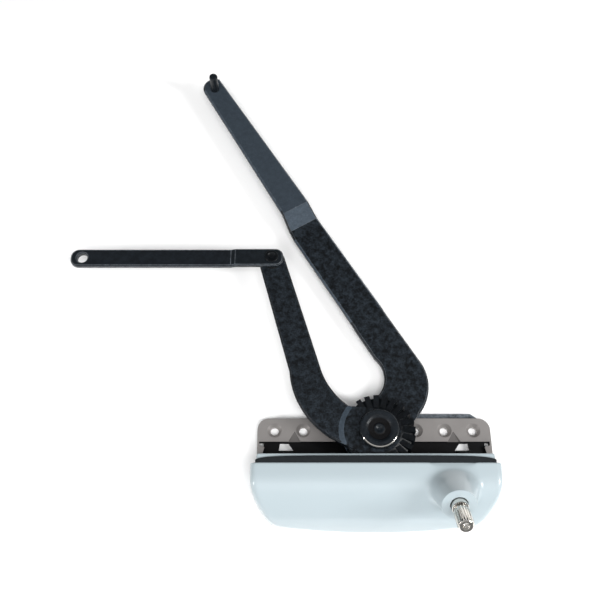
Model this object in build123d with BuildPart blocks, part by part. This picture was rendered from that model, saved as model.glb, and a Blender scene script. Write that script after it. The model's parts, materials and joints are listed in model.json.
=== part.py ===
"""Dual-arm casement window operator: a crank-driven gearbox that swings two arms about one pivot.

Frame: X runs along the sill, Y points outdoors, Z is up from the sill.
The origin is the middle of the screw row, on the mounting face.
All sizes are in millimetres.
"""
from build123d import *
from math import atan, cos, degrees, pi, radians, sin
import os

os.makedirs("parts", exist_ok=True)

# ---- driving dimensions ----------------------------------------------------------------------
base_width = 150.0
flange_rear_y = 8.0
flange_front_y = -7.3
flange_t = 5.0
floor_t = 3.0
hole_pairs = (64.0, 45.5, 27.0)          # distance of each pair of screw holes from the middle
hole_r = 2.7
countersink_r = 4.6

hub_x = 1.5                              # the arms' common pivot
hub_y = -4.5
post_r = 6.0
running_gap = 0.05

lower_washer_t = 0.95
long_arm_z = 6.0                         # underside of the long arm at the hub
long_arm_t = 4.5
gear_z = 12.5                            # underside of the gear
gear_t = 9.0
head_r = 12.2
head_top = 27.0

teeth = 24                               # teeth in a full circle of the gear
pitch_r = 22.0
tip_r = 23.1
root_r = 20.9                            # throat of the gear's blank
tooth_w = 2.5

worm_y = hub_y - 27.5                    # worm axis, parallel to X
worm_z = 17.0
worm_r = 6.0
worm_root_r = 2.9
journal_r = 2.6
crank_x = 44.4                           # where the crank axis meets the worm axis
crank_tilt = 45.0                        # crank axis above the horizontal, towards the room
crank_r = 4.0

hook_pivot = (-68.5, 120.5)              # from the hub, plan view
stud_place = (-115.0, 272.0)             # from the hub, plan view
arm_lean = 121.0                         # heading of the long arm's straight part
link_length = 130.0
link_width = 13.0
link_z = 20.5                            # underside of the link beyond its step

nose_rear_y = -26.2
cover_x = -1.6                           # middle of the nose, neck and gasket
nose_side = 76.3                         # half width of the nose at its rear edge
nose_front_y = -63.1
nose_height = 28.5
nose_wall = 2.4
nose_round = 4.0
neck_rear_y = -19.8
neck_half = 72.6
neck_top = 26.0
gasket_t = 5.2
gasket_lip = 0.6                         # how far the gasket stands out beyond the neck's sides
gasket_top = 27.8

# ---- values that follow from the driving dimensions ------------------------------------------
gear_top = gear_z + gear_t
pitch = 2 * pi * pitch_r / teeth
lead_angle = degrees(atan(pitch / (2 * pi * (abs(worm_y - hub_y) - pitch_r))))
crank_dir = Vector(0, -cos(radians(crank_tilt)), sin(radians(crank_tilt)))
crank_apex = Vector(crank_x, worm_y, worm_z)
arm_dir = Vector(cos(radians(arm_lean)), sin(radians(arm_lean)), 0)


def hub_plane(z):
    """Horizontal plane at height z, with its origin on the arms' pivot axis."""
    return Plane(origin=(hub_x, hub_y, z))


def crank_plane(s):
    """Plane square to the crank axis, at distance s from the point where it meets the worm axis."""
    return Plane(origin=crank_apex + crank_dir * s, x_dir=(1, 0, 0), z_dir=crank_dir)


def worm_plane(x):
    """Plane square to the worm axis at the given X."""
    return Plane(origin=(x, worm_y, worm_z), x_dir=(0, 1, 0), z_dir=(1, 0, 0))


def ring(plane, outer_r, inner_r, length):
    """Plain ring or bush standing on a plane."""
    with BuildPart() as body:
        with BuildSketch(plane):
            Circle(outer_r)
            Circle(inner_r, mode=Mode.SUBTRACT)
        extrude(amount=length)
    return body.part


def save(body, name):
    """Label a finished piece and write its STEP file."""
    body.label = name
    export_step(body, f"parts/{name}.step")


# ---- base plate ------------------------------------------------------------------------------
half_width = base_width / 2
floor_front_y = -51.5
floor_half = 67.5
dent_x = 51.0                            # tip of each pressed dent in the flange
dent_slope = 10.0
ledge_rear_y = flange_rear_y + 3.7
window_rear_y = flange_front_y - 0.3
window_front_y = window_rear_y - 5.1
screw_boss_places = [(-65.0, -41.0), (65.0, -41.0)]
carrier_screw_places = [(-12.0, -48.0), (24.0, -48.0), (52.0, -48.0)]
small_screw_r = 1.75
small_head_r = 3.2
small_head_t = 1.8

with BuildPart() as base_plate:
    # screw flange with rounded outer corners
    with BuildSketch(Plane.XY):
        with Locations((0, (flange_rear_y + flange_front_y) / 2)):
            Rectangle(base_width, flange_rear_y - flange_front_y)
    extrude(amount=flange_t)
    fillet(base_plate.edges().filter_by(Axis.Z).group_by(Axis.Y)[-1], radius=7.5)
    # lower ledge along the right half of the rear edge, with its end cut at a slant
    with BuildSketch(Plane.XY):
        with BuildLine():
            Polyline((18, 0), (18, ledge_rear_y), (63.5, ledge_rear_y), (71.5, 6), (66, 0), close=True)
        make_face()
    extrude(amount=2.4)
    # thinner floor under the gearbox, narrower where it passes through the neck
    with BuildSketch(Plane.XY):
        with Locations((0, (floor_front_y + flange_front_y) / 2 + 0.5)):
            floor_shape = Rectangle(2 * floor_half, flange_front_y - floor_front_y + 1)
        fillet(floor_shape.vertices().group_by(Axis.Y)[0], radius=14)
        with Locations((0, (neck_rear_y + 0.5 + flange_front_y) / 2)):
            Rectangle(base_width - 8, flange_front_y - neck_rear_y - 0.5)
    extrude(amount=floor_t)
    # pair of trapezoid windows, low end cheeks and sloped dents, mirrored left to right
    for side in (-1, 1):
        with BuildSketch(Plane.XY):
            with BuildLine():
                Polyline(
                    (side * 55, window_rear_y),
                    (side * 60.5, window_rear_y),
                    (side * 61.5, window_front_y),
                    (side * 51.5, window_front_y),
                    close=True,
                )
            make_face()
        extrude(amount=flange_t, mode=Mode.SUBTRACT)
        with BuildSketch(Plane.XY):
            with BuildLine():
                Polyline(
                    (side * half_width, flange_front_y),
                    (side * half_width, neck_rear_y + 0.5),
                    (side * (half_width - 2.4), neck_rear_y + 0.5),
                    (side * (half_width - 4.7), flange_front_y - 3.6),
                    (side * (half_width - 1.2), flange_front_y - 2.4),
                    (side * (half_width - 1.2), flange_front_y),
                    close=True,
                )
            make_face()
        extrude(amount=flange_t)
        dent_up = (0, -sin(radians(dent_slope)), cos(radians(dent_slope)))
        with BuildSketch(Plane(origin=(side * dent_x, -0.5, flange_t), x_dir=(side, 0, 0), z_dir=dent_up)):
            with BuildLine():
                Polyline((0, 0), (5.5, side * -8.6), (-5.0, side * -8.6), close=True)
            make_face()
        extrude(amount=3, mode=Mode.SUBTRACT)
    # six countersunk holes for the sill screws
    with Locations(Plane.XY.offset(flange_t)):
        with Locations([(side * x, 0) for x in hole_pairs for side in (-1, 1)]):
            CounterSinkHole(radius=hole_r, counter_sink_radius=countersink_r, depth=flange_t)
    # pivot post bore, and countersunk holes for the assembly screws from below
    with Locations(hub_plane(flange_t)):
        Hole(radius=post_r, depth=flange_t)
    with Locations(Plane.XY.rotated((180, 0, 0))):
        with Locations([(x, -y) for x, y in screw_boss_places + carrier_screw_places]):
            CounterSinkHole(radius=small_screw_r, counter_sink_radius=small_head_r, depth=floor_t)
save(base_plate.part, "base_plate")


# ---- nose cover ------------------------------------------------------------------------------
nose_bow = [(74.4, -44.0), (68.4, -53.8)]      # middle and end of each bowed side
nose_corner = [(64.6, -57.9), (58.0, -60.4)]   # middle and end of each front corner


def nose_solid(inset):
    """Outer form of the nose, drawn in all round by the inset."""
    side = nose_side - inset
    front = nose_front_y + inset
    rear = nose_rear_y - inset
    top = nose_height - inset
    bow, bow_end, corner, corner_end = [
        (x - 0.8 * inset, y + 0.6 * inset) for x, y in nose_bow + nose_corner
    ]
    start = (side, -33.0)
    with BuildPart() as body:
        with BuildSketch(Plane.XY):
            with BuildLine():
                for turn in (1, -1):
                    points = [(turn * x, y) for x, y in (start, bow, bow_end, corner, corner_end)]
                    Line((0, rear), (turn * side, rear))
                    Line((turn * side, rear), points[0])
                    ThreePointArc(*points[:3])
                    ThreePointArc(*points[2:])
                ThreePointArc(corner_end, (0, front), (-corner_end[0], corner_end[1]))
            make_face()
        extrude(amount=nose_height)
        with BuildSketch(Plane.YZ):
            with BuildLine():
                Polyline((front, 0), (rear, 0), (rear, top), (-32, top))
                Spline(
                    (-32, top),
                    (-43, top - 2.6),
                    (-52.5 + inset * 0.7, top - 10.5 + inset * 0.3),
                    (front, 0),
                    tangents=((-1, 0), (-0.25, -1)),
                )
            make_face()
        extrude(amount=side + 5, both=True, mode=Mode.INTERSECT)
    return Pos(cover_x, 0, 0) * body.part


face_s = 30.4                            # crank boss face, measured along the crank axis
boss_r = 10.2
boss_foot = (17.0, 9.8)                  # half width and half height of its flared foot
cavity_r = 8.2

nose_outer = nose_solid(0.0)
nose_inner = nose_solid(nose_wall)

with BuildPart() as nose_cover:
    add(nose_outer)
    upper = nose_cover.edges().filter_by(lambda e: e.center().Z > 3)
    fillet(upper.filter_by(lambda e: e.center().Y < nose_rear_y - 3), radius=nose_round)
    # boss round the crank shaft, kept inside the nose below
    with BuildSketch(crank_plane(face_s)):
        Circle(boss_r)
    with BuildSketch(crank_plane(8)):
        Ellipse(*boss_foot)
    loft()
    # painted neck that passes through the frame behind the nose
    with BuildSketch(Plane.XZ.offset(-nose_rear_y)):
        with Locations((cover_x, neck_top / 2)):
            Rectangle(2 * neck_half, neck_top)
    extrude(amount=-(neck_rear_y - nose_rear_y))
    # hollow: nose, neck and crank boss
    add(nose_inner, mode=Mode.SUBTRACT)
    with BuildSketch(Plane.XZ.offset(-nose_rear_y + 3)):
        with Locations((cover_x, (neck_top - nose_wall) / 2)):
            Rectangle(2 * (neck_half - nose_wall), neck_top - nose_wall)
    extrude(amount=-(neck_rear_y - nose_rear_y + 6), mode=Mode.SUBTRACT)
    with BuildSketch(crank_plane(2)):
        Circle(cavity_r)
    extrude(amount=face_s - nose_wall - 2, mode=Mode.SUBTRACT)
    with BuildSketch(crank_plane(face_s - 4)):
        Circle(5.3)
    extrude(amount=6, mode=Mode.SUBTRACT)
    # two screw bosses that stand on the floor
    with BuildSketch(Plane.XY.offset(floor_t)):
        with Locations(screw_boss_places):
            Circle(4.0)
    extrude(amount=21)
    with BuildSketch(Plane.XY.offset(floor_t)):
        with Locations(screw_boss_places):
            Circle(small_screw_r)
    extrude(amount=9, mode=Mode.SUBTRACT)
save(nose_cover.part, "nose_cover")

# ---- gasket ----------------------------------------------------------------------------------
with BuildPart() as neck_gasket:
    with BuildSketch(Plane.XZ.offset(-nose_rear_y)):
        with Locations((cover_x, gasket_top / 2)):
            Rectangle(2 * (neck_half + gasket_lip), gasket_top)
        with Locations((cover_x, neck_top / 2)):
            Rectangle(2 * neck_half, neck_top, mode=Mode.SUBTRACT)
    extrude(amount=-gasket_t)
    fillet(neck_gasket.edges().filter_by(Axis.Y).group_by(Axis.Z)[-1], radius=1.5)
save(neck_gasket.part, "neck_gasket")

# ---- gear carrier ----------------------------------------------------------------------------
lug_left = (-22.0, -15.0)
lug_right = (30.4, 36.4)
carrier_wall_y = (-46.0, -43.0)
bush_r = 4.2
lug_r = 6.3
tube_s = (9.6, 27.0)
tube_r = 7.4
crank_bush_r = 5.6

with BuildPart() as gear_carrier:
    # foot and front wall
    with BuildSketch(Plane.XY.offset(floor_t)):
        with Locations((19.0, -47.0)):
            Rectangle(82, 8)
    extrude(amount=2.5)
    with BuildSketch(Plane.XY.offset(floor_t)):
        with Locations((19.0, -44.5)):
            Rectangle(82, 3)
    extrude(amount=16)
    # two lugs that hold the worm; the right one hangs clear above the long arm's elbow
    for (x0, x1), foot_z in ((lug_left, floor_t), (lug_right, 11.2)):
        with BuildSketch(worm_plane(x0)):
            Circle(lug_r)
        extrude(amount=x1 - x0)
        with BuildSketch(Plane.YZ.offset(x0)):
            with Locations(((-44.0 + worm_y + lug_r) / 2, (foot_z + 19) / 2)):
                Rectangle(worm_y + lug_r + 44.0, 19 - foot_z)
        extrude(amount=x1 - x0)
    # nothing hangs below the clear height over the elbow
    with BuildSketch(Plane.XY.offset(floor_t)):
        with Locations((35, -33.8)):
            Rectangle(16, 16.4)
    extrude(amount=11.2 - floor_t, mode=Mode.SUBTRACT)
    # block and tube for the crank bush
    with BuildSketch(Plane.XY.offset(floor_t)):
        with Locations((crank_x, -44.2)):
            Rectangle(14, 3.6)
    extrude(amount=17)
    with BuildSketch(crank_plane(tube_s[0])):
        Circle(tube_r)
    extrude(amount=tube_s[1] - tube_s[0])
    with BuildSketch(crank_plane(tube_s[0] - 1)):
        Circle(crank_bush_r)
    extrude(amount=tube_s[1] - tube_s[0] + 2, mode=Mode.SUBTRACT)
    with BuildSketch(worm_plane(lug_left[0] - 1)):
        Circle(bush_r)
    extrude(amount=lug_right[1] - lug_left[0] + 2, mode=Mode.SUBTRACT)
    with BuildSketch(Plane.XY.offset(floor_t)):
        with Locations(carrier_screw_places):
            Circle(small_screw_r)
    extrude(amount=2.5, mode=Mode.SUBTRACT)
save(gear_carrier.part, "gear_carrier")

worm_bore = journal_r + running_gap
left_bush = ring(worm_plane(lug_left[0]), bush_r, worm_bore, lug_left[1] - lug_left[0])
save(left_bush, "worm_bush_left")
right_bush = ring(worm_plane(lug_right[0]), bush_r, worm_bore, lug_right[1] - lug_right[0])
save(right_bush, "worm_bush_right")
tube_bush = ring(crank_plane(tube_s[0]), crank_bush_r, crank_r + running_gap, tube_s[1] - tube_s[0])
save(tube_bush, "crank_bush")
save(ring(crank_plane(tube_s[1] + 0.1), 7.4, 5.1, 0.8), "crank_seal")
save(ring(crank_plane(7.6), 5.2, 2.2, 0.8), "crank_washer")
save(ring(worm_plane(lug_left[0] - 1.1), 4.0, 2.2, 1.0), "worm_end_clip")

# ---- worm ------------------------------------------------------------------------------------
thread_turns = 4
thread_start = hub_x - thread_turns * pitch / 2
thread_root_w = 2.3
thread_tip_w = 1.3

with BuildPart() as worm_blank:
    # drawn along Z from the start of the thread
    for x0, x1, r in (
        (lug_left[0] - 2.5, lug_right[1] + 3.5, 2.2),
        (lug_left[0], lug_left[1], journal_r),
        (lug_left[1] + 0.2, lug_right[0] - 0.2, worm_root_r),
        (lug_right[0], lug_right[1], journal_r),
    ):
        with BuildSketch(Plane.XY.offset(x0 - thread_start)):
            Circle(r)
        extrude(amount=x1 - x0)
    # single-start right-hand thread
    with BuildLine():
        helix = Helix(pitch=pitch, height=thread_turns * pitch, radius=worm_root_r)
    with BuildSketch(Plane(origin=helix @ 0, x_dir=(1, 0, 0), z_dir=helix % 0)):
        with BuildLine():
            Polyline(
                (-0.4, -thread_root_w / 2),
                (worm_r - worm_root_r, -thread_tip_w / 2),
                (worm_r - worm_root_r, thread_tip_w / 2),
                (-0.4, thread_root_w / 2),
                close=True,
            )
        make_face()
    sweep(path=helix, is_frenet=True)

# laid along X, turned so that a gear tooth stands in a gap of the thread at rest
worm_place = Plane(origin=(thread_start, worm_y, worm_z), x_dir=(0, -1, 0), z_dir=(1, 0, 0))
worm_shaft = worm_place.location * worm_blank.part
save(worm_shaft, "worm_shaft")


# ---- mitre gears -----------------------------------------------------------------------------
def mitre_gear(plane, turn):
    """Small mitre gear: the plane's origin is the cones' common point, its normal the gear's axis."""
    count = 12
    with BuildPart() as gear:
        with BuildSketch(Plane.XZ):
            with BuildLine():
                Polyline((2.2, 3.2), (2.5, 3.2), (4.8, 5.5), (4.8, 7.5), (2.2, 7.5), close=True)
            make_face()
        revolve(axis=Axis.Z)
        for k in range(count):
            heading = Plane.XZ.rotated((0, 0, turn + 360 * k / count))
            with BuildSketch(heading):
                with BuildLine():
                    Polyline((2.4, 3.2), (3.55, 3.2), (5.85, 5.5), (4.6, 6.6), (4.6, 5.4), close=True)
                make_face()
            extrude(amount=0.3, both=True)
    return plane.location * gear.part


save(mitre_gear(crank_plane(0), 0), "bevel_pinion")
save(mitre_gear(Plane(origin=crank_apex, x_dir=(0, 1, 0), z_dir=(-1, 0, 0)), 0), "bevel_gear")

# ---- crank shaft -----------------------------------------------------------------------------
spline_s = (34.3, 50.5)
spline_count = 18

with BuildPart() as crank_shaft:
    for s0, s1, r in (
        (2.6, 9.4, 2.2),
        (9.4, tube_s[1] + 0.1, crank_r),
        (tube_s[1] + 0.1, 32.8, 5.0),
        (32.8, spline_s[0], 3.6),
        (spline_s[0], spline_s[1], 4.15),
    ):
        with BuildSketch(crank_plane(s0)):
            Circle(r)
        extrude(amount=s1 - s0)
    chamfer(crank_shaft.faces().sort_by(Axis.Z)[-1].edges(), length=0.9)
    # fine splines for the handle
    with BuildSketch(crank_plane(spline_s[0] + 0.4)):
        with PolarLocations(3.9, spline_count):
            RegularPolygon(radius=0.72, side_count=3)
    extrude(amount=spline_s[1] - spline_s[0] - 1.5)
save(crank_shaft.part, "crank_shaft")

# ---- pivot stack -----------------------------------------------------------------------------
with BuildPart() as pivot_post:
    with BuildSketch(hub_plane(0)):
        Circle(post_r)
    extrude(amount=gear_top + 1.0)
    with BuildSketch(hub_plane(gear_top + 1.0)):
        Circle(head_r)
    extrude(amount=head_top - gear_top - 1.0)
    chamfer(pivot_post.faces().sort_by(Axis.Z)[-1].edges(), length=0.8)
    # dished recess with a small centre mark
    with BuildSketch(hub_plane(head_top)):
        Circle(7.8)
    extrude(amount=-1.3, taper=35, mode=Mode.SUBTRACT)
    with BuildSketch(hub_plane(head_top - 1.3)):
        Circle(1.6)
    extrude(amount=-0.8, mode=Mode.SUBTRACT)
save(pivot_post.part, "pivot_post")

bore_r = post_r + running_gap
save(ring(hub_plane(flange_t), 14.0, bore_r, lower_washer_t), "lower_washer")
save(ring(hub_plane(gear_top + 0.05), 11.6, bore_r, 0.9), "upper_washer")

pin_ring_r = 10.5
pin_r = 1.5
pin_z = (8.0, 18.0)
with BuildPart() as arm_pins:
    with BuildSketch(hub_plane(pin_z[0])):
        with PolarLocations(pin_ring_r, 3):
            Circle(pin_r)
    extrude(amount=pin_z[1] - pin_z[0])
save(arm_pins.part, "arm_pins")

with BuildPart() as arm_spacer:
    with BuildSketch(hub_plane(long_arm_z + long_arm_t)):
        Circle(13.2)
        Circle(bore_r, mode=Mode.SUBTRACT)
        with PolarLocations(pin_ring_r, 3):
            Circle(pin_r, mode=Mode.SUBTRACT)
    extrude(amount=gear_z - long_arm_z - long_arm_t)
save(arm_spacer.part, "arm_spacer")

# ---- long arm --------------------------------------------------------------------------------
joggle_1 = (66.0, 74.0)                  # small rise, along the arm
joggle_2 = (156.8, 169.5)                # main rise, along the arm
mid_z = 7.5
outer_z = 13.0
blade_t = 4.0

with BuildPart() as long_arm:
    with BuildSketch(hub_plane(0)):
        with BuildLine():
            Line((-112.3, 282.9), (32, 48))
            ThreePointArc((32, 48), (35.2, 33), (26, 12))
            Line((26, 12), (12, -8))
            Line((12, -8), (-12, 10))
            Line((-12, 10), (0, 25))
            ThreePointArc((0, 25), (6.4, 37), (0.6, 52))
            Line((0.6, 52), (-53.3, 141.6))
            Line((-53.3, 141.6), (-63, 162))
            Line((-63, 162), (-123.6, 271.0))
            ThreePointArc((-123.6, 271.0), (-121.2, 281.2), (-112.3, 282.9))
        make_face()
        Circle(21)
    extrude(amount=40)
    # stepped side view, drawn along the arm
    with BuildSketch(Plane(origin=(hub_x, hub_y, 0), x_dir=arm_dir, z_dir=(arm_dir.Y, -arm_dir.X, 0))):
        with BuildLine():
            Polyline(
                (-50, long_arm_z),
                (joggle_1[0], long_arm_z),
                (joggle_1[1], mid_z),
                (joggle_2[0], mid_z),
                (joggle_2[1], outer_z),
                (330, outer_z),
                (330, outer_z + blade_t),
                (joggle_2[1] - 1, outer_z + blade_t),
                (joggle_2[0] - 1, mid_z + blade_t),
                (joggle_1[1], mid_z + blade_t),
                (joggle_1[0], long_arm_z + long_arm_t),
                (-50, long_arm_z + long_arm_t),
                close=True,
            )
        make_face()
    extrude(amount=150, both=True, mode=Mode.INTERSECT)
    with Locations(hub_plane(20)):
        Hole(radius=bore_r)
        with Locations(stud_place):
            Hole(radius=2.3)
    with BuildSketch(hub_plane(pin_z[0])):
        with PolarLocations(pin_ring_r, 3):
            Circle(pin_r)
    extrude(amount=5, mode=Mode.SUBTRACT)
save(long_arm.part, "long_arm")

with BuildPart() as track_stud:
    for z0, z1, r in (
        (outer_z, outer_z + blade_t, 2.3),
        (outer_z + blade_t, 32.0, 3.1),
    ):
        with BuildSketch(Plane(origin=(hub_x + stud_place[0], hub_y + stud_place[1], z0))):
            Circle(r)
        extrude(amount=z1 - z0)
    fillet(track_stud.faces().sort_by(Axis.Z)[-1].edges(), radius=0.9)
save(track_stud.part, "track_stud")

# ---- hooked arm with gear --------------------------------------------------------------------
hook_top = 20.0
step_r = (21.7, 25.0)                    # the step's upper and lower edge, from the pivot
first_tooth = -120.0
tooth_count = 17

with BuildPart() as hooked_arm:
    with BuildSketch(hub_plane(0)):
        with BuildLine():
            Line((-6, -17), (-30, -4))
            ThreePointArc((-30, -4), (-47.5, 13.5), (-56, 40))
            Line((-56, 40), (-77.2, 118.3))
            ThreePointArc((-77.2, 118.3), (-70.8, 129.2), (-59.9, 123.1))
            Line((-59.9, 123.1), (-35.3, 40.4))
            ThreePointArc((-35.3, 40.4), (-29.5, 28.5), (-17, 15.8))
            Line((-17, 15.8), (-2, 14))
            Line((-2, 14), (-6, -17))
        make_face()
    extrude(amount=40)
    # step down in a band that runs round the pivot
    with BuildPart(mode=Mode.PRIVATE) as step:
        with BuildSketch(Plane.XZ.offset(-hub_y)):
            with BuildLine():
                Polyline(
                    (hub_x, gear_top - blade_t),
                    (hub_x + step_r[0] - 1, gear_top - blade_t),
                    (hub_x + step_r[1] - 1, hook_top - blade_t),
                    (hub_x + 150, hook_top - blade_t),
                    (hub_x + 150, hook_top),
                    (hub_x + step_r[1], hook_top),
                    (hub_x + step_r[0], gear_top),
                    (hub_x, gear_top),
                    close=True,
                )
            make_face()
        revolve(axis=Axis((hub_x, hub_y, 0), (0, 0, 1)))
    add(step.part, mode=Mode.INTERSECT)
    # gear blank, hollowed round the worm, with a sloped shoulder
    with BuildSketch(Plane.XZ.offset(-hub_y)):
        with BuildLine():
            Polyline(
                (hub_x, gear_z),
                (hub_x + root_r + 1.7, gear_z),
                (hub_x + root_r + 0.1, worm_z - 2),
                (hub_x + root_r, worm_z),
                (hub_x + root_r + 0.3, worm_z + 1.2),
                (hub_x + root_r + 0.5, worm_z + 1.7),
                (hub_x + 15.5, gear_top - 0.6),
                (hub_x + 14, gear_top),
                (hub_x, gear_top),
                close=True,
            )
        make_face()
    revolve(axis=Axis((hub_x, hub_y, 0), (0, 0, 1)))
    # leaning teeth that taper up to the shoulder
    for k in range(tooth_count):
        heading = radians(first_tooth + 360 * k / teeth)
        out = Vector(cos(heading), sin(heading), 0)
        lean = radians(lead_angle)
        across = Vector(-out.Y * cos(lean), out.X * cos(lean), -sin(lean))
        origin = Vector(hub_x, hub_y, worm_z)
        with BuildSketch(Plane(origin=origin, x_dir=out, z_dir=across)):
            with BuildLine():
                Polyline((13.5, 4.4), (13.5, -4.2), (tip_r, -4.2), (tip_r, 1.8), (14.5, 4.4), close=True)
            make_face()
        extrude(amount=tooth_w / 2, both=True)
    with Locations(hub_plane(30)):
        Hole(radius=bore_r)
        with Locations(hook_pivot):
            Hole(radius=2.8)
    with BuildSketch(hub_plane(gear_z - 1)):
        with PolarLocations(pin_ring_r, 3):
            Circle(pin_r)
    extrude(amount=pin_z[1] - gear_z + 1, mode=Mode.SUBTRACT)
save(hooked_arm.part, "hooked_arm")

# ---- link ------------------------------------------------------------------------------------
link_pivot = Vector(hub_x + hook_pivot[0], hub_y + hook_pivot[1], 0)
link_t = 3.8
link_rise = 1.0
link_end = 7.9
hole_x = link_pivot.X - link_length

with BuildPart() as link_arm:
    with BuildSketch(Plane(origin=(link_pivot.X - link_length / 2, link_pivot.Y, 0))):
        RectangleRounded(link_length + 2 * link_end, link_width, 5.5)
    extrude(amount=40)
    with BuildSketch(Plane(origin=(link_pivot.X, link_pivot.Y, 0), x_dir=(-1, 0, 0), z_dir=(0, 1, 0))):
        with BuildLine():
            Polyline(
                (-10, link_z + link_rise),
                (25, link_z + link_rise),
                (28, link_z),
                (link_length + 10, link_z),
                (link_length + 10, link_z + link_t),
                (28, link_z + link_t),
                (25, link_z + link_rise + link_t),
                (-10, link_z + link_rise + link_t),
                close=True,
            )
        make_face()
    extrude(amount=20, both=True, mode=Mode.INTERSECT)
    with Locations(Plane(origin=(link_pivot.X, link_pivot.Y, 30))):
        Hole(radius=2.8 + running_gap)
    with Locations(Plane(origin=(hole_x, link_pivot.Y, link_z + link_t))):
        CounterSinkHole(radius=3.5, counter_sink_radius=4.2, depth=link_t)
save(link_arm.part, "link_arm")

link_seat = link_z + link_rise
with BuildPart() as link_rivet:
    pivot_at = Plane(origin=(link_pivot.X, link_pivot.Y, hook_top - blade_t - 0.8))
    with BuildSketch(pivot_at):
        Circle(4.4)
    extrude(amount=0.8)
    with BuildSketch(pivot_at):
        Circle(2.8)
    extrude(amount=link_seat + link_t + 0.1 - hook_top + blade_t + 0.8)
    with BuildSketch(Plane(origin=(link_pivot.X, link_pivot.Y, link_seat + link_t + 0.1))):
        Circle(4.6)
    extrude(amount=1.1)
    fillet(link_rivet.faces().sort_by(Axis.Z)[-1].edges(), radius=0.5)
    with BuildSketch(Plane(origin=(link_pivot.X, link_pivot.Y, link_seat + link_t + 1.2))):
        Circle(2.6)
    extrude(amount=-0.7, mode=Mode.SUBTRACT)
save(link_rivet.part, "link_rivet")
link_washer_at = Plane(origin=(link_pivot.X, link_pivot.Y, hook_top))
link_washer = ring(link_washer_at, 6.5, 2.8 + running_gap, link_seat - hook_top - 0.05)
save(link_washer, "link_washer")


# ---- assembly screws -------------------------------------------------------------------------
def screws(places, length):
    """Countersunk screws driven up from below the floor."""
    with BuildPart() as body:
        with BuildSketch(Plane.XY.offset(0.1)):
            with Locations(places):
                Circle(small_screw_r)
        extrude(amount=length)
        for x, y in places:
            with BuildSketch(Plane(origin=(x, y, 0.1))):
                Circle(small_head_r - 0.3)
            extrude(amount=1.1, taper=45)
            with Locations(Plane(origin=(x, y, 0.1))):
                Box(3.4, 0.6, 1.2, mode=Mode.SUBTRACT)
                Box(0.6, 3.4, 1.2, mode=Mode.SUBTRACT)
    return body.part


save(screws(screw_boss_places, 11.0), "cover_screws")
save(screws(carrier_screw_places, 5.2), "carrier_screws")
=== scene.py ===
"""Looks of a dual-arm window operator: painted nose with a splined crank stud, screw flange, foam
gasket, and a long arm and a hooked arm with a link, all on one riveted pivot.

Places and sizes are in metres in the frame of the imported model. The rings of turned pieces, and
names that end in _mm, are in millimetres.
"""

import json
import math

import bpy
from bpy.props import FloatProperty, FloatVectorProperty, IntProperty, PointerProperty
from mathutils import Matrix, Vector

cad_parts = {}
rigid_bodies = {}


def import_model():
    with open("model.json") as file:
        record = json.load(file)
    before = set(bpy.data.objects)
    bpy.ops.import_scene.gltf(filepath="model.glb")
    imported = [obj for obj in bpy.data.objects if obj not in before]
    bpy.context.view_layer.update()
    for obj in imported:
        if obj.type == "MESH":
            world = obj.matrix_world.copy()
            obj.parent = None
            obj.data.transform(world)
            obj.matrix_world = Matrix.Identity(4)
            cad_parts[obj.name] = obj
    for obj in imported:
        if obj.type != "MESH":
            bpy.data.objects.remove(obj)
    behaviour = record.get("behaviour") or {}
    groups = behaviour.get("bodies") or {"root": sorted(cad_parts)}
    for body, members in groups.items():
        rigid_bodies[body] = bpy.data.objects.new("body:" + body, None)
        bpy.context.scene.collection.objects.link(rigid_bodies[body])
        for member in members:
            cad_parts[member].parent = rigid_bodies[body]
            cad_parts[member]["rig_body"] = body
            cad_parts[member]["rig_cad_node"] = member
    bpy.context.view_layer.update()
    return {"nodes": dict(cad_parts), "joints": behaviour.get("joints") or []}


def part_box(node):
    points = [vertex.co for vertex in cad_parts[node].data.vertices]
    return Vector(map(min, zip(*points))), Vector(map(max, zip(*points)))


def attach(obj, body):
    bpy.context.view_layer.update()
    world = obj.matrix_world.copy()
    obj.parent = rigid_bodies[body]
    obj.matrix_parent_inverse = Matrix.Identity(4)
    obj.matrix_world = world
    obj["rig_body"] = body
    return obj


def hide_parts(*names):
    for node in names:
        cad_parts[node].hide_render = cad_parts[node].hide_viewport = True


bl_info = {
    "name": "Window operator",
    "version": (1, 0, 0),
    "blender": (4, 5, 0),
    "location": "3D View > Sidebar > Window operator",
    "description": "Builds the looks of a dual-arm window operator round its packed model",
    "category": "Object",
}

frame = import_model()

MM = 0.001
GEAR_TEETH = 24


def joint_place(name):
    """Centre and axis of one of the model's joints."""
    joint = next(j for j in frame["joints"] if j["name"] == name)
    return Vector(joint["pos_m"]), Vector(joint["axis"]).normalized()


HUB, _ = joint_place("arms_swing")
LINK_PIVOT, _ = joint_place("link_swing")
CRANK_APEX, CRANK_DIR = joint_place("crank_turn")


def linear(hex_colour):
    """sRGB hex colour as linear red, green and blue."""
    channels = (int(hex_colour[i : i + 2], 16) / 255 for i in (1, 3, 5))
    return tuple(c / 12.92 if c <= 0.04045 else ((c + 0.055) / 1.055) ** 2.4 for c in channels)


def size(name, text, default, low=0.0, high=1.0):
    """A length property in metres."""
    return FloatProperty(
        name=name, description=text, default=default, min=low, max=high, unit="LENGTH", precision=5
    )


def colour(name, text, hex_colour):
    """A colour property, given as sRGB hex."""
    return FloatVectorProperty(
        name=name, description=text, default=linear(hex_colour), min=0, max=1, size=3, subtype="COLOR"
    )


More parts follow.
